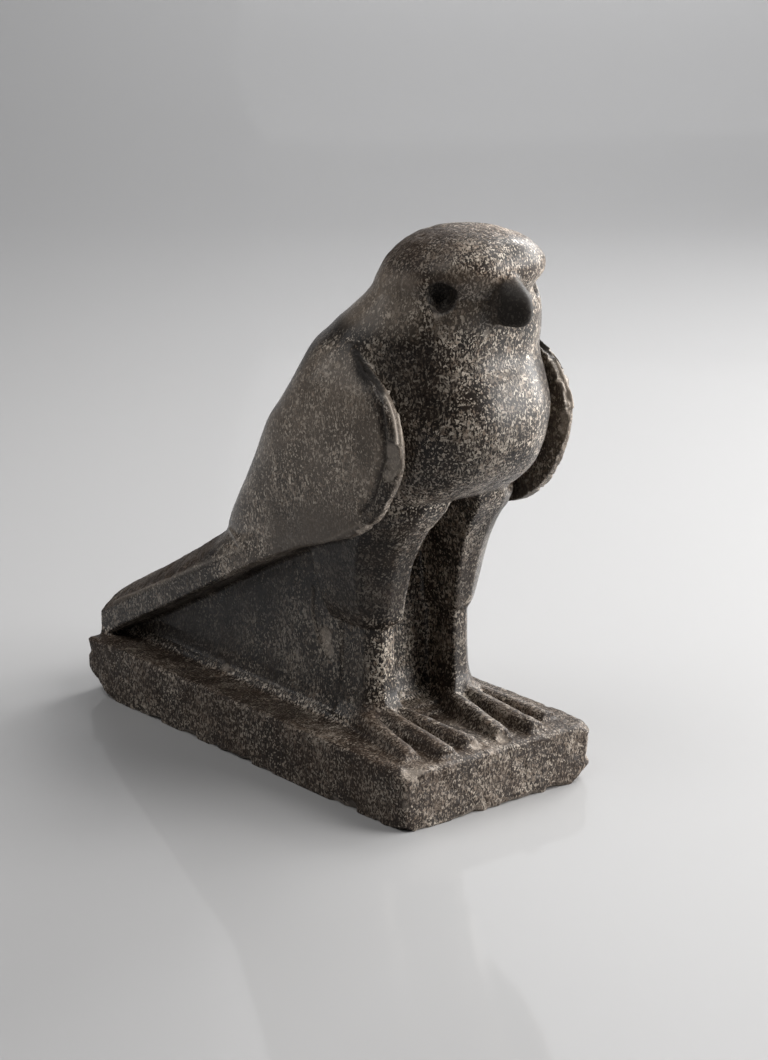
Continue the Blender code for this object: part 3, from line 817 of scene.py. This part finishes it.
def carve(obj, tree, paths):
    """The fine relief: lines, chips, gouges and the pecked surface, and the masks that the material reads."""
    mesh = obj.data
    places, normals = read_mesh(mesh)
    pale = np.zeros(len(places))
    masks = regions(places, normals)
    rough = masks["rough"]

    rng = random.Random(RELIEF_SEED)
    for centre, out, radius, depth in plinth_chips(rng) + rim_chips(rng):
        flatten_chip(places, pale, np.array(centre), np.array(out), radius, depth, CHIP_PALE)
    for u, v, radius, depth in CHIPS:
        spot, normal = on_stone(tree, u, v)
        if spot is not None:
            flatten_chip(places, pale, np.array(spot), np.array(normal), radius * MM, depth * MM, GOUGE_PALE)

    move = np.zeros(len(places))
    for path, half, height in paths:
        share = np.exp(-(path_distance(places, path) / half) ** 2)
        move += height * share
        # A groove is darkened by its depth: dirt in the groove and painted shade.
        if height < 0:
            masks["black_shade_and_dirt"] = np.maximum(masks["black_shade_and_dirt"], share * min(1.0, -height / DARK_DEPTH) * GROOVE_SHADE_AND_DIRT)
        else:
            # A raised line is made pale: worn stone, and partly a painted highlight where its edge catches
            # the light.
            worn = 1.0 if half < THIN_LINE else BROAD_LINE_PALE
            pale = np.maximum(pale, share * min(1.0, height / PALE_HEIGHT) * worn)

    broad = noise3(places, 0.013, 21) * 0.00022 + noise3(places, 0.0055, 22) * 0.00012
    pecks = noise3(places, 0.0030, 23) * 0.00016 + noise3(places, 0.0019, 24) * 0.00012
    pits = -np.clip(noise3(places, 0.0042, 25) - 0.45, 0, None) * 0.0011
    move += broad * (0.18 + rough) + pecks * (0.15 + rough) + pits * rough
    foot = ramp(places[:, 2], 0.0, 0.0008)
    places += normals * (move * foot)[:, None]

    mesh.vertices.foreach_set("co", places.ravel())
    for name, values in list(masks.items()) + [("pale", pale)]:
        layer = mesh.attributes.new(name, "FLOAT", "POINT")
        layer.data.foreach_set("value", values)
    mesh.update()


def build_stone():
    parts = [make_trunk(), make_mantle(), make_tail(), make_web(), make_web_foot(), make_filling(),
             make_plinth()]
    parts.append(loft([level_ring(row) for row in smooth_rows(BEAK, BEAK_STEPS)], "beak"))
    for side in (-1, 1):
        parts = parts + make_leg(side)
    stone = join(parts, "falcon_stone")
    remesh = stone.modifiers.new("one_stone", "REMESH")
    remesh.mode = "VOXEL"
    remesh.voxel_size = VOXEL
    smooth = stone.modifiers.new("worn", "SMOOTH")
    smooth.factor = 0.5
    smooth.iterations = SMOOTH_STEPS
    bake(stone)
    tree, paths = find_lines(stone)
    refine(stone, paths)
    carve(stone, tree, paths)
    triangles = sum(len(p.vertices) - 2 for p in stone.data.polygons)
    if triangles > TRIANGLES:
        decimate = stone.modifiers.new("facets", "DECIMATE")
        decimate.ratio = TRIANGLES / triangles
        bake(stone)
    saw_flat(stone)
    stone.data.shade_smooth()
    return stone


class Tree:
    """Short calls for building a shader."""

    def __init__(self, name):
        self.material = bpy.data.materials.new(name)
        self.material.use_nodes = True
        self.nodes = self.material.node_tree.nodes
        self.links = self.material.node_tree.links
        self.shader = self.nodes["Principled BSDF"]

    def node(self, kind, **settings):
        node = self.nodes.new(kind)
        for key, value in settings.items():
            setattr(node, key, value)
        return node

    def put(self, socket, value):
        if isinstance(value, bpy.types.NodeSocket):
            self.links.new(value, socket)
        else:
            socket.default_value = value

    def math(self, operation, a, b=0.0, c=0.0, clamp=False):
        node = self.node("ShaderNodeMath", operation=operation, use_clamp=clamp)
        for socket, value in zip(node.inputs, (a, b, c)):
            self.put(socket, value)
        return node.outputs[0]

    def vector(self, operation, a, b=None, scale=None):
        node = self.node("ShaderNodeVectorMath", operation=operation)
        self.put(node.inputs[0], a)
        if b is not None:
            self.put(node.inputs[1], b)
        if scale is not None:
            self.put(node.inputs["Scale"], scale)
        return node.outputs["Value"] if operation in ("DOT_PRODUCT", "LENGTH") else node.outputs["Vector"]

    def mix(self, share, a, b):
        node = self.node("ShaderNodeMix", data_type="RGBA")
        self.put(node.inputs["Factor"], share)
        for key, value in (("A", a), ("B", b)):
            socket = [s for s in node.inputs if s.name == key and s.type == "RGBA"][0]
            self.put(socket, value)
        return [s for s in node.outputs if s.type == "RGBA"][0]

    def step(self, value, low, high):
        node = self.node("ShaderNodeMapRange", interpolation_type="SMOOTHSTEP")
        self.put(node.inputs["Value"], value)
        node.inputs["From Min"].default_value = low
        node.inputs["From Max"].default_value = high
        return node.outputs["Result"]

    def noise(self, coords, size, detail=2.0, roughness=0.5):
        """Noise with features of the given size in millimetres, from 0 to 1."""
        node = self.node("ShaderNodeTexNoise")
        self.put(node.inputs["Vector"], coords)
        node.inputs["Scale"].default_value = 1.0 / size
        node.inputs["Detail"].default_value = detail
        node.inputs["Roughness"].default_value = roughness
        return node.outputs["Fac"], node.outputs["Color"]

    def attribute(self, name):
        return self.node("ShaderNodeAttribute", attribute_name=name).outputs["Fac"]


def flecks(t, coords, cell, length, width, shift):
    """Crystals scattered in the stone: short laths, each with its own direction.

    Gives how far inside a crystal a place is, and a colour that is the same all over one crystal."""
    scaled = t.vector("SCALE", coords, scale=1.0 / cell)
    scaled = t.vector("ADD", scaled, (shift, shift * 1.7, shift * 0.6))
    cells = t.node("ShaderNodeTexVoronoi", voronoi_dimensions="3D", feature="F1")
    t.put(cells.inputs["Vector"], scaled)
    cells.inputs["Scale"].default_value = 1.0
    offset = t.vector("SUBTRACT", scaled, cells.outputs["Position"])
    axis = t.vector("NORMALIZE", t.vector("SUBTRACT", cells.outputs["Color"], (0.5, 0.5, 0.5)))
    along = t.vector("DOT_PRODUCT", offset, axis)
    across = t.vector("LENGTH", t.vector("SUBTRACT", offset, t.vector("SCALE", axis, scale=along)))
    a = t.math("DIVIDE", along, length / cell)
    b = t.math("DIVIDE", across, width / cell)
    far = t.math("SQRT", t.math("ADD", t.math("MULTIPLY", a, a), t.math("MULTIPLY", b, b)))
    inside = t.math("SUBTRACT", 1.0, t.step(far, 0.82, 1.12))
    return inside, cells.outputs["Color"]


def make_porphyry():
    t = Tree("porphyry")
    coords = t.vector("SCALE", t.node("ShaderNodeTexCoord").outputs["Object"], scale=1.0 / MM)
    rough, brown, pale = t.attribute("rough"), t.attribute("brown"), t.attribute("pale")
    even_tone_and_sheen, painted_shade, black_shade_and_dirt = t.attribute("even_tone_and_sheen"), t.attribute("painted_shade"), t.attribute("black_shade_and_dirt")

    bend = t.noise(coords, 1.3, 2.0)[1]
    bend = t.vector("SCALE", t.vector("SUBTRACT", bend, (0.5, 0.5, 0.5)), scale=1.0)
    bent = t.vector("ADD", coords, bend)

    crowd = t.noise(coords, 16.0, 3.0)[0]
    large, large_tone = flecks(t, bent, 3.4, 1.25, 0.70, 3.0)
    large = t.math("MULTIPLY", large, t.step(t.noise(coords, 8.0, 1.0)[0], 0.44, 0.60))
    laths, laths_tone = flecks(t, bent, 1.5, 0.90, 0.34, 17.0)
    drawn = t.vector("MULTIPLY", t.vector("ADD", bent, (40.0, 7.0, 19.0)), (1.25, 1.25, 0.55))
    net = t.noise(drawn, 0.88, 2.0, 0.55)[0]
    net = t.math("ADD", net, t.math("MULTIPLY", t.math("SUBTRACT", crowd, 0.5), 0.42))
    net = t.step(net, 0.53, 0.575)
    crystal = t.math("MAXIMUM", t.math("MULTIPLY", net, 0.85), t.math("MULTIPLY", laths, 0.95))
    crystal = t.math("MAXIMUM", crystal, large)

    grain = t.noise(coords, 0.45, 3.0, 0.6)[0]
    ground = t.mix(t.step(t.noise(coords, 9.0, 3.0)[0], 0.35, 0.65),
                   GROUND_DARK, GROUND_LIGHT)
    ground = t.mix(t.math("MULTIPLY", brown, 0.75), ground, GROUND_BROWN)
    ground = t.mix(t.math("MULTIPLY", t.step(grain, 0.50, 0.70), 0.28), ground, GRAIN)

    tone = t.node("ShaderNodeSeparateColor")
    t.put(tone.inputs["Color"], t.mix(t.math("GREATER_THAN", large, 0.5), laths_tone, large_tone))
    stone = t.mix(t.step(tone.outputs["Red"], 0.2, 0.85), FLECK_DIM, FLECK_BRIGHT)
    stone = t.mix(t.math("MULTIPLY", t.step(tone.outputs["Green"], 0.68, 0.9), 0.42), stone, FLECK_ROSE)
    stone = t.mix(t.math("MULTIPLY", brown, 0.28), stone, FLECK_BROWN)
    cloud = t.math("MULTIPLY_ADD", t.noise(coords, 0.8, 2.0)[0], 0.7, 0.5)
    share = t.math("MULTIPLY", crystal, cloud, clamp=True)
    # Painted shade dims the flecks.
    share = t.math("MULTIPLY", share, t.math("MULTIPLY_ADD", painted_shade, -0.78, 1.0))
    colour = t.mix(share, ground, stone)
    # Even tone of polished faces, partly a painted sheen veil.
    colour = t.mix(t.math("MULTIPLY", even_tone_and_sheen, 0.52), colour, EVEN_TONE_AND_SHEEN)
    # Pale: worn stone on chips and gouges, and on ridges also a painted highlight.
    colour = t.mix(t.math("MULTIPLY", pale, 0.8), colour, WORN_AND_HIGHLIT)
    # Black: painted shade in the eyes, on the beak and in the notches, and dirt with painted shade in the
    # grooves.
    colour = t.mix(black_shade_and_dirt, colour, BLACK_SHADE_AND_DIRT)
    t.put(t.shader.inputs["Base Color"], colour)

    gloss = t.math("MULTIPLY_ADD", rough, 0.22, 0.31)
    cloudy = t.math("SUBTRACT", t.noise(coords, 2.4, 3.0)[0], 0.5)
    gloss = t.math("ADD", gloss, t.math("MULTIPLY", cloudy, 0.22))
    gloss = t.math("SUBTRACT", gloss, t.math("MULTIPLY", crystal, 0.05))
    gloss = t.math("ADD", gloss, t.math("MULTIPLY", t.math("MAXIMUM", pale, black_shade_and_dirt), 0.35), clamp=True)
    t.put(t.shader.inputs["Roughness"], gloss)
    t.shader.inputs["Specular IOR Level"].default_value = 0.22
    t.shader.inputs["IOR"].default_value = 1.55

    fine = t.noise(coords, 0.8, 3.0, 0.6)[0]
    dents = t.noise(coords, 2.1, 3.0, 0.6)[0]
    height = t.math("ADD", t.math("MULTIPLY", fine, t.math("MULTIPLY_ADD", rough, 0.55, 0.10)),
                    t.math("MULTIPLY", dents, t.math("MULTIPLY_ADD", rough, 1.1, 0.12)))
    height = t.math("ADD", height, t.math("MULTIPLY", crystal, 0.06))
    bump = t.node("ShaderNodeBump")
    bump.inputs["Strength"].default_value = 0.7
    bump.inputs["Distance"].default_value = 0.0005
    t.put(bump.inputs["Height"], height)
    t.put(t.shader.inputs["Normal"], bump.outputs["Normal"])
    return t.material


def make_floor():
    """A studio table of pale paper that sweeps up behind the falcon."""
    right, _, back, _ = camera_axes()
    ahead = Vector((-back.x, -back.y, 0)).normalized()
    profile = [(-SWEEP_FRONT, 0.0), (SWEEP_BACK, 0.0)]
    for k in range(1, SWEEP_STEPS + 1):
        turn = math.pi / 2 * k / SWEEP_STEPS
        profile.append((SWEEP_BACK + SWEEP_RADIUS * math.sin(turn), SWEEP_RADIUS * (1 - math.cos(turn))))
    profile.append((SWEEP_BACK + SWEEP_RADIUS, SWEEP_HEIGHT))
    bm = bmesh.new()
    rows = []
    for run, height in profile:
        rows.append([bm.verts.new(ahead * run + right * across + Vector((0, 0, height - PAPER_DROP)))
                     for across in (-SWEEP_LEFT, SWEEP_RIGHT)])
    for low, high in zip(rows, rows[1:]):
        bm.faces.new((low[0], low[1], high[1], high[0]))
    floor = new_object(bm, "studio_floor")
    floor.data.shade_smooth()
    t = Tree("pale_paper")
    t.shader.inputs["Base Color"].default_value = PAPER
    t.shader.inputs["Roughness"].default_value = 0.6
    t.shader.inputs["Specular IOR Level"].default_value = 0.25
    t.shader.inputs["Coat Weight"].default_value = 0.45
    t.shader.inputs["Coat Roughness"].default_value = 0.06
    floor.data.materials.append(t.material)


def area_light(name, azimuth, elevation, distance, width, height, power, colour):
    a, e = math.radians(azimuth), math.radians(elevation)
    way = Vector((math.sin(a) * math.cos(e), -math.cos(a) * math.cos(e), math.sin(e)))
    data = bpy.data.lights.new(name, "AREA")
    data.shape = "RECTANGLE"
    data.size = width
    data.size_y = height
    data.energy = power
    data.color = colour
    data.spread = math.radians(BEAM_SPREAD)
    obj = bpy.data.objects.new(name, data)
    bpy.context.collection.objects.link(obj)
    obj.location = Vector(LIGHT_TARGET) + way * distance
    obj.rotation_euler = way.to_track_quat("Z", "Y").to_euler()


def add_lights():
    for light in LIGHTS:
        area_light(*light)
    place, target, size, power = BACKDROP_LIGHT
    data = bpy.data.lights.new("backdrop_light", "AREA")
    data.size = size
    data.energy = power
    obj = bpy.data.objects.new("backdrop_light", data)
    bpy.context.collection.objects.link(obj)
    obj.location = place
    obj.rotation_euler = (Vector(target) - Vector(place)).to_track_quat("-Z", "Y").to_euler()
    world = bpy.data.worlds.new("studio")
    bpy.context.scene.world = world
    world.use_nodes = True
    sky = world.node_tree.nodes["Background"]
    sky.inputs["Color"].default_value = WORLD_COLOUR
    sky.inputs["Strength"].default_value = WORLD_STRENGTH


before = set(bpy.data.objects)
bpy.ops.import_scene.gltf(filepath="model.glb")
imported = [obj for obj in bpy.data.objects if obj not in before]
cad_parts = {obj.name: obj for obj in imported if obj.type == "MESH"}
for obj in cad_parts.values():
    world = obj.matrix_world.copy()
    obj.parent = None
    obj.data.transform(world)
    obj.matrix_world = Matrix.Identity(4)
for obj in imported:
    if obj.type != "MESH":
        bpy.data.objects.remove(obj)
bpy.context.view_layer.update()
falcon = build_stone()
falcon.data.materials.clear()
falcon.data.materials.append(make_porphyry())
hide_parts("falcon_statuette")
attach(falcon, "root")
make_floor()
add_lights()
add_camera()
bpy.context.scene.view_settings.view_transform = "Standard"
bpy.context.view_layer.update()
